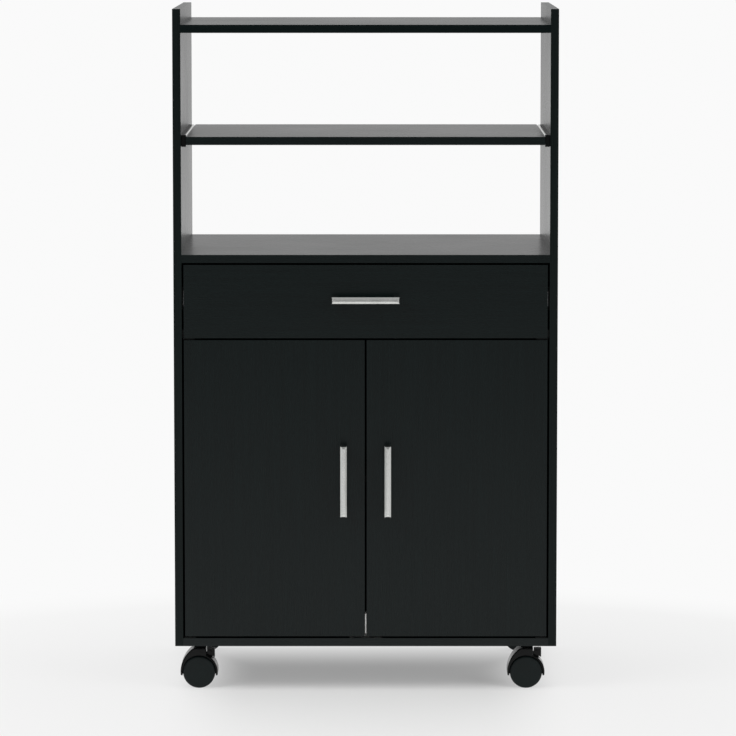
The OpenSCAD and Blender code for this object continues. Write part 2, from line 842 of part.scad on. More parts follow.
module drawer_bottom() color(HARDBOARD) drawer_bottom_shape();
module drawer_handle() color(SATIN_NICKEL) at_drawer_handle() handle(drawer_handle_l);

module drawer_screws() {
    color(ZINC) {
        at_drawer_handle() handle_screws(drawer_handle_l);
        box_screws();
        for (side = [-1, 1]) on_side(side) moving_member_screws(DRAWER_RUNNER);
    }
}

// ---------- pull-out shelf ----------

module shelf_screws_shape() for (side = [-1, 1]) on_side(side) moving_member_screws(SHELF_RUNNER);

module pull_out_shelf() {
    color(BLACK_FOIL) difference() {
        board(-slide_shelf_x, front_y, slide_shelf_z, 2 * slide_shelf_x, slide_shelf_d, board_t);
        shelf_screws_shape();
    }
}

module shelf_screws() color(ZINC) shelf_screws_shape();

// ---------- casters ----------

module at_swivel(side_x, side_y) {
    translate([side_x * swivel_x, side_y > 0 ? swivel_back_y : swivel_front_y, 0]) children();
}

module at_each_swivel() for (sx = [-1, 1], sy = [-1, 1]) at_swivel(sx, sy) children();

// Moves from the swivel axis on the floor to the axle
module at_axle() translate([-caster_trail, 0, axle_z]) children();

// Extrudes an outline in X and Z evenly to both sides of the caster's middle plane
module across(width) along_y(-width / 2, width) children();

module caster_plate_screws() {
    at_each_swivel() for (sx = [-1, 1], sy = [-1, 1])
        translate([sx * plate_hole_pitch / 2, sy * plate_hole_pitch / 2,
                   caster_h - plate_t - small_head_h])
            screw_z(small_screw_d, small_head_d, small_head_h, plate_t + small_screw_l);
}

module swivel_pin_shapes() {
    at_each_swivel() translate([0, 0, pin_low_z]) cylinder(d = swivel_d, h = swivel_l + plate_t);
}

module caster_plates() {
    color(ZINC) difference() {
        at_each_swivel() translate([-plate_side / 2, -plate_side / 2, caster_h - plate_t])
            cube([plate_side, plate_side, plate_t]);
        swivel_pin_shapes();
        caster_plate_screws();
    }
}

module swivel_pins() color(ZINC) swivel_pin_shapes();

// Part of the hood's outline above its lower tips
module above_tips() {
    difference() {
        children();
        translate([-2 * hood_r, -2 * hood_r - hood_drop]) square([4 * hood_r, 2 * hood_r]);
    }
}

// Hood with shoulders up to a height, their arc tangent to the hood's circle at the trailing side
module shoulder_outline(height) {
    intersection() {
        translate([shoulder_extra, 0]) circle(r = hood_r + shoulder_extra);
        translate([-hood_r, 0]) square([hood_r + neck_x[1], height]);
    }
}

module neck_outline() {
    height = neck_top_z - axle_z;
    shoulder_outline(height);
    translate([neck_x[0], 0]) square([neck_d, height]);
}

module lever_ears_outline() {
    radial = atan2(lever_pivot[1], lever_pivot[0]);
    translate(lever_pivot) circle(r = lever_ear_r);
    rotate(radial) translate([hood_inner_r + hood_t / 2, -lever_ear_r])
        square([norm(lever_pivot) - hood_inner_r - hood_t / 2, 2 * lever_ear_r]);
}

module caster_hood(side_x, side_y) {
    bore_r = swivel_d / 2 + running_gap;
    braked = side_y < 0;
    color(BLACK_PLASTIC) at_swivel(side_x, side_y) difference() {
        at_axle() {
            across(hood_w) above_tips() difference() {
                union() {
                    circle(r = hood_r);
                    shoulder_outline(neck_top_z - axle_z - shoulder_drop);
                }
                circle(r = hood_inner_r);
            }
            across(web_t) {
                above_tips() circle(r = hood_r - hood_t / 2);
                circle(r = hub_r);
            }
            across(neck_d) difference() {
                neck_outline();
                circle(r = hood_r - hood_t / 2);
            }
            if (braked) for (s = [-1, 1])
                translate([0, s * (lever_ear_y + lever_ear_t / 2), 0])
                    across(lever_ear_t) lever_ears_outline();
            if (braked) across(2 * lever_ear_y) translate(lever_pivot) circle(d = lever_pin_d);
        }
        translate([0, 0, pin_low_z - running_gap]) cylinder(r = bore_r, h = swivel_l + plate_t);
        at_axle() across(web_t + 2 * cut) circle(d = axle_d + 2 * running_gap);
        if (braked) at_axle() across(lever_nose_w + 2 * lever_slot_gap) difference() {
            translate([lever_slot_u[0], 0])
                square([lever_slot_u[1] - lever_slot_u[0], hood_r]);
            circle(r = lever_slot_r);
        }
    }
}

module caster_hood_front_left() caster_hood(-1, -1);
module caster_hood_front_right() caster_hood(1, -1);
module caster_hood_rear_left() caster_hood(-1, 1);
module caster_hood_rear_right() caster_hood(1, 1);

module axle_shape() across(2 * (wheel_y + axle_seat)) circle(d = axle_d);

module caster_axle(side_x, side_y) {
    color(ZINC) at_swivel(side_x, side_y) at_axle() axle_shape();
}

module caster_axle_front_left() caster_axle(-1, -1);
module caster_axle_front_right() caster_axle(1, -1);
module caster_axle_rear_left() caster_axle(-1, 1);
module caster_axle_rear_right() caster_axle(1, 1);

// Half section of a wheel: radius along X, width along Y from its inner face
module wheel_section() {
    difference() {
        union() {
            square([wheel_r - wheel_edge_r, wheel_w]);
            translate([0, wheel_edge_r]) square([wheel_r, wheel_w - 2 * wheel_edge_r]);
            for (y = [wheel_edge_r, wheel_w - wheel_edge_r])
                translate([wheel_r - wheel_edge_r, y]) circle(r = wheel_edge_r);
        }
        translate([wheel_hub_r, -cut])
            square([wheel_r - wheel_rim_t - wheel_hub_r, wheel_recess + cut]);
        translate([-cut, -cut]) square([axle_d / 2 + cut, axle_seat + cut]);
    }
}

module wheel() rotate_extrude() intersection() {
    wheel_section();
    square([wheel_r, wheel_w]);
}

module caster_wheels(side_x, side_y) {
    color(BLACK_PLASTIC) at_swivel(side_x, side_y) at_axle()
        for (s = [-1, 1]) translate([0, s * wheel_y, 0]) rotate([s * -90, 0, 0]) wheel();
}

module caster_wheels_front_left() caster_wheels(-1, -1);
module caster_wheels_front_right() caster_wheels(1, -1);
module caster_wheels_rear_left() caster_wheels(-1, 1);
module caster_wheels_rear_right() caster_wheels(1, 1);

// A circle around the axle, with the lever's gap, as the lever meets it tilted by the given angle
module under_lever(radius, angle) {
    translate(lever_pivot) rotate(angle) translate(-lever_pivot) circle(r = radius + lever_gap);
}

module brake_lever(side_x) {
    color(BLACK_PLASTIC) at_swivel(side_x, -1) at_axle() difference() {
        union() {
            across(lever_w) difference() {
                translate([lever_u[0], 0]) square([lever_u[1] - lever_u[0], lever_top]);
                for (angle = [0 : lever_swing / 3 : lever_swing]) under_lever(hood_r, angle);
            }
            across(lever_nose_w) difference() {
                translate([lever_nose_u[0], 0])
                    square([lever_nose_u[1] - lever_nose_u[0], lever_pivot[1]]);
                circle(r = lever_nose_r);
                under_lever(lever_slot_r, lever_swing);
            }
        }
        across(lever_w + 2 * cut) translate(lever_pivot)
            circle(d = lever_pin_d + 2 * running_gap);
    }
}

module brake_lever_front_left() brake_lever(-1);
module brake_lever_front_right() brake_lever(1);

// ---------- small screws of the cabinet's hardware ----------

module hardware_screws() {
    color(ZINC) {
        for (side = [-1, 1]) on_side(side) {
            fixed_member_screws(DRAWER_RUNNER);
            fixed_member_screws(SHELF_RUNNER);
        }
        lower_pivot_screws();
        upper_pivot_screws();
        catch_screws();
        caster_plate_screws();
    }
}

side_panel_left();
side_panel_right();
top_shelf();
counter();
bottom_panel();
divider_rail();
back_panel();
inner_shelf();
shelf_pins();
panel_screws();
back_panel_screws();
hardware_screws();
magnetic_catch();
catch_magnets();
door_pivots_left();
door_pivots_right();
drawer_runner_left();
drawer_runner_right();
shelf_runner_left();
shelf_runner_right();
caster_plates();
swivel_pins();
door_left();
door_right();
door_handle_left();
door_handle_right();
door_screws_left();
door_screws_right();
strike_plate_left();
strike_plate_right();
drawer_front();
drawer_side_left();
drawer_side_right();
drawer_back();
drawer_bottom();
drawer_handle();
drawer_screws();
drawer_slide_left();
drawer_slide_right();
drawer_ball_cages();
pull_out_shelf();
shelf_slide_left();
shelf_slide_right();
shelf_slide_caps();
shelf_screws();
shelf_ball_cages();
caster_hood_front_left();
caster_hood_front_right();
caster_hood_rear_left();
caster_hood_rear_right();
caster_axle_front_left();
caster_axle_front_right();
caster_axle_rear_left();
caster_axle_rear_right();
caster_wheels_front_left();
caster_wheels_front_right();
caster_wheels_rear_left();
caster_wheels_rear_right();
brake_lever_front_left();
brake_lever_front_right();
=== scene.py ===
# Kitchen cart on casters: finer pieces, materials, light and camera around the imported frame.
# Metres, +X the cart's right seen from its front, +Y its back, +Z up.
import json
import math

import bmesh
import bpy
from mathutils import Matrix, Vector

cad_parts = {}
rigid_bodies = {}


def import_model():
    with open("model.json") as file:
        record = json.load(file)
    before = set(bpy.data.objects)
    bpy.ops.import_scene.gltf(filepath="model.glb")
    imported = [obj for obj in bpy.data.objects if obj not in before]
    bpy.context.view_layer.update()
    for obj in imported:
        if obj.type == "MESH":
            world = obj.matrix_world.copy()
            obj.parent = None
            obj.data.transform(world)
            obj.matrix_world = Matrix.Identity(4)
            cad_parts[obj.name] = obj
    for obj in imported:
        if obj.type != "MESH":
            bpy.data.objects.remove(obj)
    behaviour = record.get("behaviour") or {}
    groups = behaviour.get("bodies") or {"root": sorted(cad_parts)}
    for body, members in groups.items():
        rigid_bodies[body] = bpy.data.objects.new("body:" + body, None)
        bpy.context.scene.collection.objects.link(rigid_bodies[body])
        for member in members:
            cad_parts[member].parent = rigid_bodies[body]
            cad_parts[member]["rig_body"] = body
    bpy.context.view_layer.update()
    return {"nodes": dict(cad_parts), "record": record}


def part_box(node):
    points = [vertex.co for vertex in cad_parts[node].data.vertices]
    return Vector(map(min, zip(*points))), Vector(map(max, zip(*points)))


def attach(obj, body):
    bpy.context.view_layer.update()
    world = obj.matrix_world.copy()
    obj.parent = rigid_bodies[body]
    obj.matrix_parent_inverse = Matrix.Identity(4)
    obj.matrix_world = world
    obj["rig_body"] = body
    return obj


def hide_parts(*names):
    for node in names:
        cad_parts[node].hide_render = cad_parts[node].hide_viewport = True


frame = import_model()
scene = bpy.context.scene

MM = 0.001
SIDES = ("left", "right")
CORNERS = ("front_left", "front_right", "rear_left", "rear_right")

# Vertices this close are joined, and places this close count as the same
WELD = 0.002 * MM
NEAR = 0.01 * MM


# ---------- node materials ----------

# Linear colours
FOIL = (0.002, 0.005, 0.005)
# The side panels' foil is the same foil in a lighter colour: painted light on the side panels
SIDE_FOIL_LIT_COPY = (0.0045, 0.0075, 0.0072)
HARDBOARD = (0.03, 0.028, 0.026)
BLACK_PLASTIC = (0.0025, 0.003, 0.003)
WHEEL_PLASTIC = (0.006, 0.0098, 0.0098)
GREY_PLASTIC = (0.85, 0.85, 0.83)
SATIN = (0.78, 0.79, 0.77)
ZINC = (0.7, 0.71, 0.72)
# The shelf slides' zinc, lighter than the other zinc: zinc plating with a painted highlight along
# the slides
SLIDE_ZINC_PAINTED_HIGHLIGHT = (0.94, 0.95, 0.93)
COATED_STEEL = (0.004, 0.0045, 0.0045)
FERRITE = (0.08, 0.08, 0.085)
FLOOR = (0.87, 0.87, 0.865)

# Tones of a colour from the low to the high values of a noise
FOIL_TONES = (0.88, 1, 1.15)
HARDBOARD_TONES = (0.75, 1, 1.2)
PLASTIC_TONES = (0.85, 1.2)
METAL_TONES = (0.95, 1.04)
FLOOR_TONES = (0.985, 1)

# Roughness over the low to the high values of a noise, and what a second noise adds to it
FOIL_ROUGH, FOIL_UNEVEN = (0.24, 0.3), (-0.015, 0.015)
HARDBOARD_ROUGH = (0.6, 0.78)
FINE_UNEVEN = (0, 0.03)
# The same for plastic and metal, around the material's own roughness
SMOOTHER, ROUGHER = 0.04, 0.05
FLOOR_ROUGH = 0.7

# Depth of the relief
FOIL_RELIEF = 0.02 * MM
HARDBOARD_RELIEF = 0.12 * MM
PLASTIC_RELIEF = 0.03 * MM
METAL_RELIEF = 0.01 * MM
FLOOR_RELIEF = 0.1 * MM

# Nearly all values of a noise lie between these
NOISE_LOW, NOISE_HIGH = 0.3, 0.7

HARDBOARD_SPECULAR = 0.35
FLOOR_SPECULAR = 0.2


class Nodes:
    """A node tree with one output, its nodes made and linked in short calls."""

    def __init__(self, tree, output):
        self.tree = tree
        self.tree.nodes.clear()
        self.out = self.tree.nodes.new(output)

    def add(self, kind, inputs=None, **settings):
        node = self.tree.nodes.new("ShaderNode" + kind)
        for key, value in settings.items():
            setattr(node, key, value)
        for key, value in (inputs or {}).items():
            if isinstance(value, bpy.types.NodeSocket):
                self.tree.links.new(value, node.inputs[key])
            else:
                node.inputs[key].default_value = value
        return node

    def calculate(self, operation, a, b=0.0):
        return self.add("Math", {0: a, 1: b}, operation=operation).outputs[0]

    def plus(self, a, b):
        return self.calculate("ADD", a, b)

    def minus(self, a, b):
        return self.calculate("SUBTRACT", a, b)

    def times(self, a, b):
        return self.calculate("MULTIPLY", a, b)

    def larger(self, a, b):
        return self.calculate("MAXIMUM", a, b)

    def noise(self, stretch, scale=1.0, detail=3.0, rough=0.55):
        place = self.add("TexCoord").outputs["Object"]
        vector = self.add("Mapping", {"Vector": place, "Scale": stretch}).outputs[0]
        return self.add("TexNoise", {"Vector": vector, "Scale": scale, "Detail": detail,
                                     "Roughness": rough}).outputs["Fac"]

    def even_noise(self, per_metre, detail=3.0, rough=0.55):
        """Noise that is as fine in every direction."""
        return self.noise((per_metre,) * 3, detail=detail, rough=rough)

    def fit(self, value, low, high, from_low=NOISE_LOW, from_high=NOISE_HIGH):
        return self.add("MapRange", {"Value": value, "From Min": from_low, "From Max": from_high,
                                     "To Min": low, "To Max": high}).outputs[0]

    def ease(self, value, start, end):
        """Rises smoothly from 0 at start to 1 at end."""
        return self.add("MapRange", {"Value": value, "From Min": start, "From Max": end},
                        interpolation_type="SMOOTHSTEP").outputs[0]

    def ramp(self, noise, colour, tones):
        """The colour in these tones, from the low to the high values of the noise."""
        node = self.add("ValToRGB", {"Fac": noise})
        stops = node.color_ramp.elements
        for i, tone in enumerate(tones):
            place = NOISE_LOW + (NOISE_HIGH - NOISE_LOW) * i / (len(tones) - 1)
            stop = stops[i] if i < len(stops) else stops.new(place)
            stop.position = place
            stop.color = (*(part * tone for part in colour), 1)
        return node.outputs[0]

    def bump(self, height, depth, strength, normal=None):
        inputs = {"Height": height, "Distance": depth, "Strength": strength}
        if normal is not None:
            inputs["Normal"] = normal
        return self.add("Bump", inputs).outputs[0]

    def is_seen(self):
        """1 for rays straight from the camera, else 0."""
        return self.add("LightPath").outputs["Is Camera Ray"]

    def is_mirrored(self):
        """1 for rays that come off gloss or through something clear, else 0."""
        path = self.add("LightPath").outputs
        return self.larger(path["Is Glossy Ray"], path["Is Transmission Ray"])

    def finish(self, shader):
        self.tree.links.new(shader, self.out.inputs["Surface"])


def new_material(name):
    material = bpy.data.materials.new(name)
    material.use_nodes = True
    return material, Nodes(material.node_tree, "ShaderNodeOutputMaterial")


def principled(n, colour, roughness, normal, **fixed):
    inputs = {"Base Color": colour, "Roughness": roughness, "Normal": normal}
    inputs.update({key.replace("_", " "): value for key, value in fixed.items()})
    return n.add("BsdfPrincipled", inputs).outputs[0]


def board_material(name, grain, specular, foil=FOIL):
    """Black wood-grain foil; grain is the stretch of the pores along X, Y and Z."""
    material, n = new_material(name)
    streaks = n.noise(grain, scale=0.35, detail=4)
    pores = n.noise(grain, scale=1.6, detail=5, rough=0.6)
    patches = n.even_noise(5, detail=2)
    colour = n.ramp(streaks, foil, FOIL_TONES)
    roughness = n.plus(n.fit(pores, *FOIL_ROUGH), n.fit(patches, *FOIL_UNEVEN))
    normal = n.bump(streaks, FOIL_RELIEF, strength=0.1)
    normal = n.bump(pores, FOIL_RELIEF, strength=0.15, normal=normal)
    n.finish(principled(n, colour, roughness, normal, Specular_IOR_Level=specular))
    return material


def hardboard_material():
    material, n = new_material("hardboard_brown")
    fibre = n.even_noise(700, detail=5, rough=0.7)
    mottle = n.even_noise(60, detail=4)
    colour = n.ramp(mottle, HARDBOARD, HARDBOARD_TONES)
    roughness = n.fit(fibre, *HARDBOARD_ROUGH)
    normal = n.bump(fibre, HARDBOARD_RELIEF, strength=0.6)
    n.finish(principled(n, colour, roughness, normal, Specular_IOR_Level=HARDBOARD_SPECULAR))
    return material


def plastic_material(name, colour, rough, specular, grain=900):
    """Moulded or painted surface; grain is how fine its texture is, per metre."""
    material, n = new_material(name)
    fine = n.even_noise(grain)
    broad = n.even_noise(45, detail=2)
    tone = n.ramp(broad, colour, PLASTIC_TONES)
    roughness = n.plus(n.fit(broad, rough - SMOOTHER, rough + ROUGHER), n.fit(fine, *FINE_UNEVEN))
    normal = n.bump(fine, PLASTIC_RELIEF, strength=0.35)
    n.finish(principled(n, tone, roughness, normal, Specular_IOR_Level=specular))
    return material


def metal_material(name, colour, rough, brush):
    """Metal with fine lines; brush is their stretch along X, Y and Z."""
    material, n = new_material(name)
    lines = n.noise(brush, detail=4)
    broad = n.even_noise(60, detail=2)
    tone = n.ramp(broad, colour, METAL_TONES)
    roughness = n.plus(n.fit(lines, rough - SMOOTHER, rough + ROUGHER), n.fit(broad, *FINE_UNEVEN))
    normal = n.bump(lines, METAL_RELIEF, strength=0.15)
    n.finish(principled(n, tone, roughness, normal, Metallic=1.0))
    return material


# Wood pores are long along the grain and a fraction of a millimetre across it
ALONG, ACROSS = 12, 700
GRAIN_X = (ALONG, ACROSS, ACROSS)
GRAIN_Y = (ACROSS, ALONG, ACROSS)
GRAIN_Z = (ACROSS, ACROSS, ALONG)
# Brushed lines are shorter and finer
LINES_X = (40, 2500, 2500)
LINES_Z = (2500, 2500, 40)

foil_x = board_material("black_foil_grain_x", GRAIN_X, specular=0.27)
foil_y = board_material("black_foil_grain_y", GRAIN_Y, specular=0.27)
foil_z = board_material("black_foil_grain_z", GRAIN_Z, specular=0.25)
# The top shelf's copy of the foil has less sheen: painted shade on the top shelf
foil_top_dimmed_copy = board_material("black_foil_top_shelf", GRAIN_X, specular=0.14)
# The side panels' copy of the foil is painted lighter and given less sheen: painted light and shade
# on the side panels
foil_side_lit_copy = board_material("black_foil_side_panels", GRAIN_Z, specular=0.14, foil=SIDE_FOIL_LIT_COPY)
hardboard = hardboard_material()
brushed_x = metal_material("satin_nickel_x", SATIN, rough=0.2, brush=LINES_X)
brushed_z = metal_material("satin_nickel_z", SATIN, rough=0.2, brush=LINES_Z)
zinc = metal_material("zinc_plating", ZINC, rough=0.3, brush=(900, 120, 900))
# Shelf slides: zinc plating, lighter and glossier than the other zinc, a painted highlight
slide_zinc_painted_highlight = metal_material("bright_zinc_plating", SLIDE_ZINC_PAINTED_HIGHLIGHT, rough=0.12, brush=(60, 10, 60))
coated_steel = plastic_material("black_coated_steel", COATED_STEEL, rough=0.32, specular=0.2,
                                grain=1200)
black_plastic = plastic_material("black_plastic", BLACK_PLASTIC, rough=0.18, specular=0.18)
wheel_plastic = plastic_material("wheel_plastic", WHEEL_PLASTIC, rough=0.4, specular=0.2,
                                 grain=700)
grey_plastic = plastic_material("grey_plastic", GREY_PLASTIC, rough=0.4, specular=0.5)
ferrite = plastic_material("ferrite", FERRITE, rough=0.6, specular=0.5, grain=500)

BY_SLOT = {
    "black_board": foil_x, "hardboard": hardboard, "satin_handle": brushed_x,
    "black_steel": coated_steel, "zinc_steel": zinc, "black_plastic": black_plastic,
    "wheel_plastic": wheel_plastic, "grey_plastic": grey_plastic, "magnet": ferrite,
}
# Nodes that look different from the others of their slot; the top shelf, side panels and shelf
# slides get copies with painted light or shade
BY_NODE = {"top_shelf": foil_top_dimmed_copy}
for side in SIDES:
    BY_NODE["side_panel_" + side] = foil_side_lit_copy
    BY_NODE["door_" + side] = foil_z
    BY_NODE["door_handle_" + side] = brushed_z
    BY_NODE["drawer_side_" + side] = foil_y
    BY_NODE["shelf_slide_" + side] = slide_zinc_painted_highlight

slot_of = {part["node"]: part["material_slot"] for part in frame["record"]["subparts"]}


def material_for(node):
    return BY_NODE.get(node, BY_SLOT[slot_of[node]])


for node, piece in frame["nodes"].items():
    piece.data.materials.clear()
    piece.data.materials.append(material_for(node))


# ---------- pieces made from the CAD solids ----------

# Widths of broken and rounded edges
BOARD_EDGE = 0.5 * MM
SMALL_EDGE = 0.3 * MM
LEVER_EDGE = 0.6 * MM
HANDLE_EDGE = 0.25 * MM
HOOD_EDGE = 3.2 * MM
# Bent corner of the pull-out shelf's steel slides
SLIDE_CORNER = 1.6 * MM
# Width of a handle bar's chamfers as seen from the front, and their slopes
HANDLE_CHAMFER = 3.3 * MM
SHALLOW = math.radians(33)
STEEP = math.radians(45)

# Faces across an edge: a broad round, a broken edge, a narrow one and a flat cut
HOOD_STEPS = 5
EDGE_STEPS = 3
NARROW_STEPS = 2
FLAT_CUT = 1

# Triangles within the first angle are one face, and edges beyond the second are sharp
FLAT_ANGLE = math.radians(0.5)
SHARP_ANGLE = math.radians(30)
# Share of a face's normal along an axis from which the face counts as facing that way
FACING = 0.5


def is_near(a, b):
    return abs(a - b) < NEAR


def triangles_of(node):
    """The node's solid as a closed bmesh of triangles."""
    bm = bmesh.new()
    bm.from_mesh(frame["nodes"][node].data)
    bmesh.ops.remove_doubles(bm, verts=bm.verts, dist=WELD)
    return bm


def solid_of(node):
    """The node's solid as a bmesh, its triangles joined into whole faces."""
    bm = triangles_of(node)
    bmesh.ops.dissolve_limit(bm, angle_limit=FLAT_ANGLE, verts=bm.verts, edges=bm.edges)
    return bm


def is_sharp(edge):
    return len(edge.link_faces) == 2 and edge.calc_face_angle(0) > SHARP_ANGLE


def bevel(bm, edges, width, steps=EDGE_STEPS):
    bmesh.ops.bevel(bm, geom=edges, offset=width, segments=steps, profile=0.5,
                    affect="EDGES", clamp_overlap=True)


def break_edges(bm, width, steps=EDGE_STEPS):
    bevel(bm, [edge for edge in bm.edges if is_sharp(edge)], width, steps)


def put_in_place(bm, name, node):
    """Makes the bmesh a piece that stands for the node, on its body."""
    mesh = bpy.data.meshes.new(name)
    for face in bm.faces:
        face.smooth = True
    bmesh.ops.recalc_face_normals(bm, faces=bm.faces)
    bm.to_mesh(mesh)
    bm.free()
    mesh.set_sharp_from_angle(angle=SHARP_ANGLE)
    mesh.materials.append(material_for(node))
    piece = bpy.data.objects.new(name, mesh)
    scene.collection.objects.link(piece)
    even = piece.modifiers.new("even_shading", "WEIGHTED_NORMAL")
    even.keep_sharp = True
    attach(piece, frame["nodes"][node]["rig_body"])
    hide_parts(node)
    return piece


def soften(node, width):
    """The node's solid with its edges broken."""
    bm = solid_of(node)
    break_edges(bm, width)
    return put_in_place(bm, node + "_soft", node)


def turn_wheels(corner):
    """A caster's wheels with their round surfaces shaded smooth."""
    node = "caster_wheels_" + corner
    return put_in_place(triangles_of(node), "turned_wheels_" + corner, node)


def cut_off(bm, place, outward):
    """Cuts the solid at this plane, drops what lies outward and closes the cut."""
    cut = bmesh.ops.bisect_plane(bm, geom=[*bm.verts, *bm.edges, *bm.faces], plane_co=place,
                                 plane_no=outward, clear_outer=True)
    rim = [item for item in cut["geom_cut"] if isinstance(item, bmesh.types.BMEdge)]
    bmesh.ops.holes_fill(bm, edges=rim)


def dress_handle(node, low_slope, high_slope):
    """Bar with its two long front edges chamfered at these angles from its front face."""
    low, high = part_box(node)
    middle = (low + high) / 2
    front = Vector((0, -1, 0))
    across = Vector((1, 0, 0)) if high.z - low.z > high.x - low.x else Vector((0, 0, 1))
    half = (high - low).dot(across) / 2
    bm = solid_of(node)
    for way, slope in ((-across, low_slope), (across, high_slope)):
        edge = middle + way * (half - HANDLE_CHAMFER)
        edge.y = low.y
        cut_off(bm, edge, way * math.sin(slope) + front * math.cos(slope))
    break_edges(bm, HANDLE_EDGE, NARROW_STEPS)
    return put_in_place(bm, node + "_bar", node)


def dress_slide(node):
    """Steel slide with its two corners next to the shelf taken off, as if bent."""
    low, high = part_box(node)
    shelf_x = low.x if low.x > 0 else high.x

    def at_corner(vert):
        at_end = is_near(vert.co.z, low.z) or is_near(vert.co.z, high.z)
        return at_end and is_near(vert.co.x, shelf_x)

    bm = solid_of(node)
    corners = [edge for edge in bm.edges if all(map(at_corner, edge.verts))]
    bevel(bm, corners, SLIDE_CORNER, FLAT_CUT)
    return put_in_place(bm, node + "_bent", node)


def dress_hood(node):
    """Hood with broadly rounded outer edges on its two flat faces."""
    low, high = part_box(node)
    middle = (low + high) / 2

    def looks_outward(face):
        away = face.calc_center_median() - middle
        away.y = 0
        return face.normal.dot(away) > 0 and face.normal.z > -FACING

    def on_outline(edge):
        on_flat_face = any(all(is_near(vert.co.y, y) for vert in edge.verts)
                           for y in (low.y, high.y))
        rims = [face for face in edge.link_faces if abs(face.normal.y) < FACING]
        return is_sharp(edge) and on_flat_face and all(map(looks_outward, rims))

    bm = solid_of(node)
    bevel(bm, [edge for edge in bm.edges if on_outline(edge)], HOOD_EDGE, HOOD_STEPS)
    break_edges(bm, SMALL_EDGE, NARROW_STEPS)
    return put_in_place(bm, node + "_rounded", node)


# ---------- screws with recessed heads ----------

SCREW_STEPS = 32
# A recess takes this share of its head's height, up to a depth
RECESS_SHARE, RECESS_DEPTH = 0.7, 1.6 * MM
# Its size at its floor and at the head's face, as shares of the head's radius
RECESS_FLOOR, RECESS_MOUTH = 0.42, 0.5
CROSS_ARM = 0.27
# Round edge of a head as a share of its radius: how far it reaches into the face, and a point on
# the way, in from the face and from the side
HEAD_ROUND = 0.12
ROUND_REACH = 2
ROUND_POINT = (0.3, 0.6)
# Length and radius of a screw's tip, as shares of its shank's radius
TIP_LENGTH, TIP_RADIUS = 1.5, 0.25
TINY = 1e-6


def hexagon(angle):
    """Distance of a hexagon's side, 1 at its corners, in this direction."""
    return math.cos(math.pi / 6) / math.cos(angle % (math.pi / 3) - math.pi / 6)


def cross(angle):
    """Distance of a cross's outline, 1 at its ends, in this direction."""
    short, long = sorted((abs(math.cos(angle)), abs(math.sin(angle))))
    return max(min(1 / long, CROSS_ARM / max(short, TINY)), CROSS_ARM / long)


def circle(angle):
    return 1.0


def screw_rings(head_r, head_h, shank_r, length, recess):
    """Outline of a screw from its recess to its tip: step along it, radius and shape."""
    depth = min(RECESS_SHARE * head_h, RECESS_DEPTH)
    edge = HEAD_ROUND * head_r
    point_in, point_side = ROUND_POINT
    return [
        (depth, RECESS_FLOOR * head_r, recess),
        (0, RECESS_MOUTH * head_r, recess),
        (0, head_r - ROUND_REACH * edge, circle),
        (point_in * edge, head_r - point_side * edge, circle),
        (edge, head_r, circle),
        (head_h, head_r, circle),
        (head_h, shank_r, circle),
        (length - TIP_LENGTH * shank_r, shank_r, circle),
        (length, TIP_RADIUS * shank_r, circle),
    ]


def add_screw(bm, place, along, rings):
    """One screw: its head's face at place, its tip in the direction along."""
    side = along.orthogonal().normalized()
    other = along.cross(side)
    loops = []
    for step, radius, shape in rings:
        loop = []
        for i in range(SCREW_STEPS):
            angle = 2 * math.pi * i / SCREW_STEPS
            reach = radius * shape(angle)
            away = side * math.cos(angle) + other * math.sin(angle)
            loop.append(bm.verts.new(place + along * step + away * reach))
        loops.append(loop)
    bm.faces.new(loops[0])
    bm.faces.new(reversed(loops[-1]))
    for near, far in zip(loops, loops[1:]):
        for i in range(SCREW_STEPS):
            j = (i + 1) % SCREW_STEPS
            bm.faces.new((near[i], near[j], far[j], far[i]))


def islands(bm):
    """Groups of vertices that hang together."""
    left = set(bm.verts)
    while left:
        group, front = set(), [left.pop()]
        while front:
            vert = front.pop()
            group.add(vert)
            for edge in vert.link_edges:
                neighbour = edge.other_vert(vert)
                if neighbour in left:
                    left.remove(neighbour)
                    front.append(neighbour)
        yield group


def measure_screw(spots):
    """Middle of a headed pin's face, the direction to its tip, and its sizes, from its vertices."""
    low = Vector(map(min, zip(*spots)))
    high = Vector(map(max, zip(*spots)))
    middle = (low + high) / 2
    axis = max(range(3), key=lambda i: (high - low)[i])

    def radius(spot):
        away = spot - middle
        away[axis] = 0
        return away.length

    def widest(end):
        return max(radius(spot) for spot in spots if is_near(spot[axis], end))

    head_end, tip_end = sorted((low[axis], high[axis]), key=widest, reverse=True)
    head_r, shank_r = widest(head_end), widest(tip_end)
    head_h = max(abs(spot[axis] - head_end) for spot in spots if radius(spot) > head_r - NEAR)
    along = Vector((0, 0, 0))
    along[axis] = 1 if tip_end > head_end else -1
    place = middle.copy()
    place[axis] = head_end
    return place, along, (head_r, head_h, shank_r, abs(tip_end - head_end))


def dress_screws(node, recess):
    """Rebuilds each headed pin of the node as a screw with a recess in its head."""
    solids = solid_of(node)
    bm = bmesh.new()
    for group in islands(solids):
        place, along, sizes = measure_screw([vert.co for vert in group])
        add_screw(bm, place, along, screw_rings(*sizes, recess))
    solids.free()
    return put_in_place(bm, node + "_recessed", node)


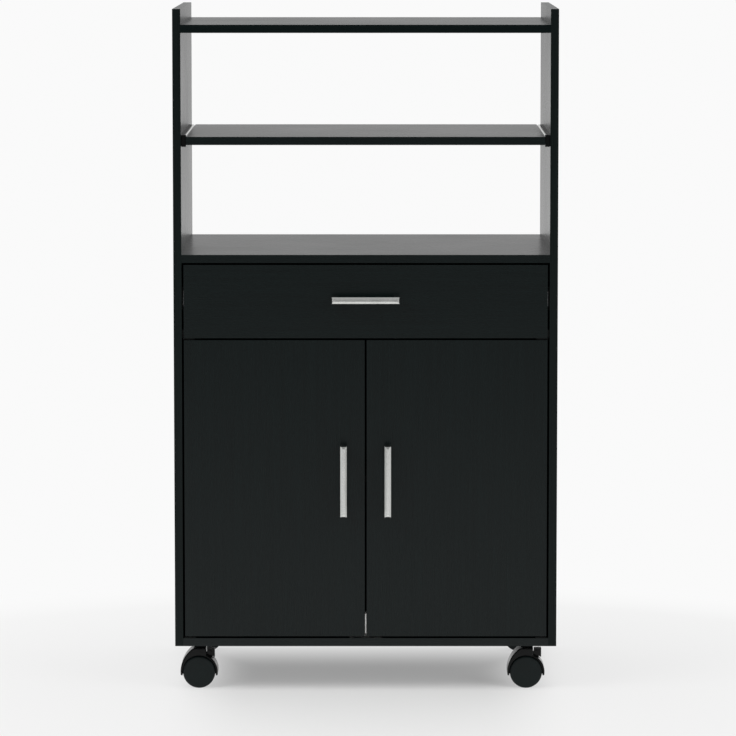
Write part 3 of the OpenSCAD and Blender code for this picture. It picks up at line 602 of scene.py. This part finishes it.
for node in ("top_shelf", "counter", "bottom_panel", "divider_rail", "inner_shelf",
             "pull_out_shelf", "drawer_front", "drawer_back"):
    soften(node, BOARD_EDGE)
for node in ("magnetic_catch", "shelf_slide_caps", "caster_plates"):
    soften(node, SMALL_EDGE)
for side in SIDES:
    for node in ("side_panel_", "door_", "drawer_side_"):
        soften(node + side, BOARD_EDGE)
    for node in ("strike_plate_", "door_pivots_"):
        soften(node + side, SMALL_EDGE)
    soften("brake_lever_front_" + side, LEVER_EDGE)
    dress_handle("door_handle_" + side, STEEP, STEEP)
    dress_screws("door_screws_" + side, cross)
    dress_slide("shelf_slide_" + side)
dress_handle("drawer_handle", SHALLOW, STEEP)
for corner in CORNERS:
    dress_hood("caster_hood_" + corner)
    turn_wheels(corner)
dress_screws("panel_screws", hexagon)
for node in ("back_panel_screws", "hardware_screws", "drawer_screws", "shelf_screws"):
    dress_screws(node, cross)


# ---------- camera ----------

# Side of the square image and focal length in its pixels, and the sensor's width in millimetres
IMAGE_PX = 736
FOCAL_PX = 4176.7
SENSOR = 36.0
CAMERA_PLACE = (0.0148, -6.5615, 1.2304)
LOOK_DOWN = math.radians(6.1)
SHIFT_X, SHIFT_Y = -0.0099, -0.04
FARTHEST = 100


def set_camera():
    camera = bpy.data.objects.new("camera", bpy.data.cameras.new("camera"))
    scene.collection.objects.link(camera)
    camera.data.sensor_width = SENSOR
    camera.data.lens = FOCAL_PX / IMAGE_PX * SENSOR
    camera.data.shift_x = SHIFT_X
    camera.data.shift_y = SHIFT_Y
    camera.data.clip_end = FARTHEST
    camera.location = CAMERA_PLACE
    camera.rotation_euler = (math.pi / 2 - LOOK_DOWN, 0, 0)
    scene.camera = camera


# ---------- floor, surroundings and light ----------

# Brightness of the surroundings seen directly
WHITE = 0.955
# In front of the cart, beside and above it, and behind it: in reflections, and as light
GLOW = (0.22, 0.5, 0.64)
LIGHT = (0.21, 0.37, 0.55)
# Y of the directions at which they are that bright
AHEAD, ASIDE, BEHIND = -1.0, 0.0, 0.9
# More of it in reflections low behind the cart, growing between these Z of the direction
LOW_GLOW = 0.4
LOW_START, LOW_END = 0.0, -0.1
# Share and strength of plain glow in what is seen of the floor under the cart, painted light that
# lightens the cart's shadow; the share grows beside and behind the cart, where this painted light
# lightens the shadow more
NEAR_PAINTED_LIGHT_SHARE, NEAR_GLOW = 0.33, 0.9
SIDE_PAINTED_LIGHT_SHARE, SIDE_START, SIDE_END = 0.48, 0.17, 0.33
REAR_PAINTED_LIGHT_SHARE, REAR_START, REAR_END = 0.42, 0.0, 0.25
# Further out the floor fades into the surroundings, and glows this much in reflections
MIRRORED_GLOW = 0.78
FLOOR_MIDDLE = (0, -0.35, 0)
FADE_START, FADE_END = 0.45, 1.2
FLOOR_RADIUS = 4.5
FLOOR_STEPS = 96

# Point that the lamps in front light
CART_MIDDLE = (0, 0, 0.4)


def plain_floor(n):
    speckle = n.even_noise(160, detail=2)
    return principled(n, n.ramp(speckle, FLOOR, FLOOR_TONES), FLOOR_ROUGH,
                      n.bump(speckle, FLOOR_RELIEF, strength=0.1),
                      Specular_IOR_Level=FLOOR_SPECULAR)


def floor_material():
    """Pale floor that keeps a shadow near the cart, lightened by painted light: glow mixed into
    what is seen of it, most beside and behind the cart; further out it fades into the bright
    surroundings.
    """
    material, n = new_material("floor_pale")
    place = n.add("TexCoord").outputs["Object"]
    axes = n.add("SeparateXYZ", {0: place}).outputs
    distance = n.add("VectorMath", {0: place, 1: FLOOR_MIDDLE}, operation="DISTANCE")
    seen, mirrored = n.is_seen(), n.is_mirrored()

    away = n.ease(distance.outputs["Value"], FADE_START, FADE_END)
    far_glow = n.plus(n.times(seen, WHITE), n.times(mirrored, MIRRORED_GLOW))
    strength = n.add("MapRange", {"Value": away, "To Min": NEAR_GLOW,
                                  "To Max": far_glow}).outputs[0]
    glow = n.add("Emission", {"Strength": strength}).outputs[0]

    # Painted light: the glow's share grows beside and behind the cart and lightens its shadow there
    beside = n.ease(n.calculate("ABSOLUTE", axes["X"]), SIDE_START, SIDE_END)
    behind = n.ease(axes["Y"], REAR_START, REAR_END)
    around = n.larger(n.times(beside, SIDE_PAINTED_LIGHT_SHARE), n.times(behind, REAR_PAINTED_LIGHT_SHARE))
    share = n.times(n.larger(n.plus(around, NEAR_PAINTED_LIGHT_SHARE), away), n.larger(seen, mirrored))
    n.finish(n.add("MixShader", {0: share, 1: plain_floor(n), 2: glow}).outputs[0])
    return material


def lay_floor():
    bm = bmesh.new()
    bmesh.ops.create_circle(bm, cap_ends=True, segments=FLOOR_STEPS, radius=FLOOR_RADIUS)
    mesh = bpy.data.meshes.new("floor")
    bm.to_mesh(mesh)
    bm.free()
    mesh.materials.append(floor_material())
    floor = bpy.data.objects.new("floor", mesh)
    scene.collection.objects.link(floor)


def set_surroundings():
    """White seen directly; as light and in reflections dim in front of the cart, bright behind."""
    world = bpy.data.worlds.new("surroundings")
    scene.world = world
    world.use_nodes = True
    n = Nodes(world.node_tree, "ShaderNodeOutputWorld")
    direction = n.add("SeparateXYZ", {0: n.add("TexCoord").outputs["Generated"]}).outputs

    def around(front, beside, back):
        return n.plus(n.fit(direction["Y"], front, beside, AHEAD, ASIDE),
                      n.fit(direction["Y"], 0.0, back - beside, ASIDE, BEHIND))

    low = n.times(n.fit(direction["Y"], 0.0, 1.0, ASIDE, BEHIND),
                  n.fit(direction["Z"], 0.0, LOW_GLOW, LOW_START, LOW_END))
    seen, mirrored = n.is_seen(), n.is_mirrored()
    lighting = n.minus(n.minus(1.0, mirrored), seen)
    strength = n.times(seen, WHITE)
    strength = n.plus(strength, n.times(mirrored, n.plus(around(*GLOW), low)))
    strength = n.plus(strength, n.times(lighting, around(*LIGHT)))
    n.finish(n.add("Background", {"Color": (1, 1, 1, 1), "Strength": strength}).outputs[0])


def softbox(name, place, aim, size, power):
    """Square lamp that lights surfaces but isn't seen, directly or in reflections."""
    lamp = bpy.data.lights.new(name, "AREA")
    lamp.size = size
    lamp.energy = power
    lit = bpy.data.objects.new(name, lamp)
    scene.collection.objects.link(lit)
    lit.location = place
    lit.rotation_euler = (Vector(aim) - Vector(place)).to_track_quat("-Z", "Y").to_euler()
    lit.visible_camera = False
    lit.visible_glossy = False


set_camera()
lay_floor()
set_surroundings()
softbox("key_left", place=(-2.2, -1.6, 2.6), aim=CART_MIDDLE, size=2.0, power=54)
softbox("fill_right", place=(2.4, -2.0, 1.8), aim=CART_MIDDLE, size=2.0, power=38)
softbox("top", place=(0, 0.3, 3.2), aim=(0, 0, 0), size=2.6, power=42)

scene.view_settings.view_transform = "Standard"

bpy.context.view_layer.update()
